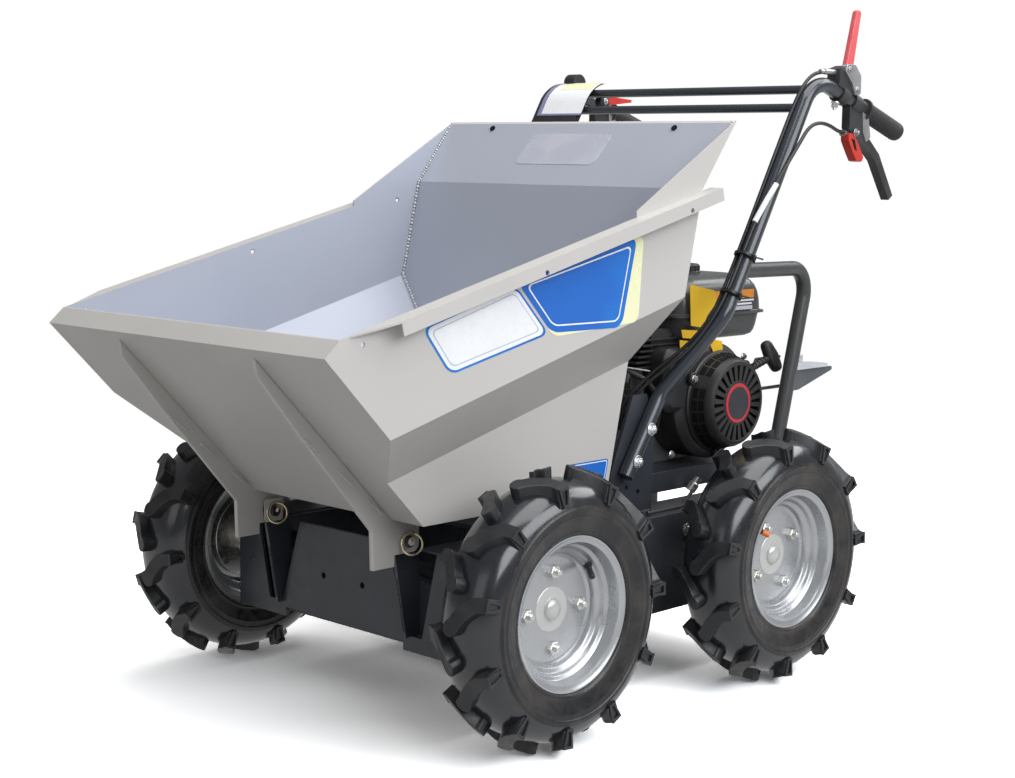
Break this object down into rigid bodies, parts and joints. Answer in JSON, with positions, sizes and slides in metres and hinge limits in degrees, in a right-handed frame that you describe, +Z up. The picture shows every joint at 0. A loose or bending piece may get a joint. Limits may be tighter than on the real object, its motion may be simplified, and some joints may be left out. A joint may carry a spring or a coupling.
{
  "type": "walk-behind site dumper",
  "caption": "Compact walk-behind dumper: folded-steel tipping skip on a low wheeled chassis, open petrol engine behind it and long handlebars with grips and control levers.",
  "frame": {"origin": "on the ground, at the middle of the machine's length and width", "axes": "+X to the machine's left, -Y ahead (the skip's lip), +Z up"},
  "size_m": [0.82, 1.35, 1.101],
  "materials": {
    "tyre_rubber": "matte",
    "rim_grey": "satin",
    "zinc": "satin",
    "skip_grey": "satin",
    "chassis_black": "satin",
    "tube_black": "gloss",
    "rubber_black": "matte",
    "plastic_black": "matte",
    "clamp_silver": "satin",
    "lever_red": "gloss",
    "shelf_grey": "satin",
    "engine_metal": "satin",
    "tank_grey": "gloss",
    "silencer_steel": "satin",
    "cable_black": "matte"
  },
  "bodies": {
    "chassis": {"air_filter": "plastic_black", "axle_housing_front": "chassis_black", "axle_housing_rear": "chassis_black", "belt_cover": "chassis_black", "cable_drive": "cable_black", "cable_steering": "cable_black", "chassis_frame": "chassis_black", "console": "plastic_black", "crankcase": "engine_metal", "cross_bars": "tube_black", "cylinder_head": "engine_metal", "drive_clamp": "clamp_silver", "drive_lever": "lever_red", "engine_tray": "chassis_black", "fan_housing": "plastic_black", "front_plate": "chassis_black", "fuel_cap": "plastic_black", "fuel_tank": "tank_grey", "gear_lever": "zinc", "gear_shelf": "shelf_grey", "gearbox": "chassis_black", "grip_left": "rubber_black", "grip_right": "rubber_black", "guard_left": "tube_black", "guard_right": "tube_black", "handlebar_bracket_left": "chassis_black", "handlebar_bracket_right": "chassis_black", "handlebar_left": "tube_black", "handlebar_right": "tube_black", "pull_handle": "plastic_black", "recoil_starter": "plastic_black", "silencer": "silencer_steel", "skip_buffers": "rubber_black", "skip_rest": "chassis_black", "steering_lever_left": "plastic_black", "steering_lever_right": "plastic_black", "throttle": "plastic_black"},
    "skip": {"skip_tub": "skip_grey", "skip_rib_left": "skip_grey", "skip_rib_right": "skip_grey"},
    "wheel_front_left": {"tyre_front_left": "tyre_rubber", "rim_front_left": "rim_grey", "hub_front_left": "zinc"},
    "wheel_rear_left": {"tyre_rear_left": "tyre_rubber", "rim_rear_left": "rim_grey", "hub_rear_left": "zinc"},
    "wheel_front_right": {"tyre_front_right": "tyre_rubber", "rim_front_right": "rim_grey", "hub_front_right": "zinc"},
    "wheel_rear_right": {"tyre_rear_right": "tyre_rubber", "rim_rear_right": "rim_grey", "hub_rear_right": "zinc"}
  },
  "joints": [
    {"name": "skip_tip", "type": "hinge", "parent": "chassis", "child": "skip", "pos_m": [0, -0.388, 0.291], "axis": [1, 0, 0], "range_deg": [0, 75]},
    {"name": "wheel_front_left_spin", "type": "hinge", "parent": "chassis", "child": "wheel_front_left", "pos_m": [0.355, -0.286, 0.2075], "axis": [1, 0, 0], "continuous": true},
    {"name": "wheel_rear_left_spin", "type": "hinge", "parent": "chassis", "child": "wheel_rear_left", "pos_m": [0.355, 0.243, 0.2075], "axis": [1, 0, 0], "continuous": true},
    {"name": "wheel_front_right_spin", "type": "hinge", "parent": "chassis", "child": "wheel_front_right", "pos_m": [-0.355, -0.286, 0.2075], "axis": [1, 0, 0], "continuous": true},
    {"name": "wheel_rear_right_spin", "type": "hinge", "parent": "chassis", "child": "wheel_rear_right", "pos_m": [-0.355, 0.243, 0.2075], "axis": [1, 0, 0], "continuous": true}
  ]
}
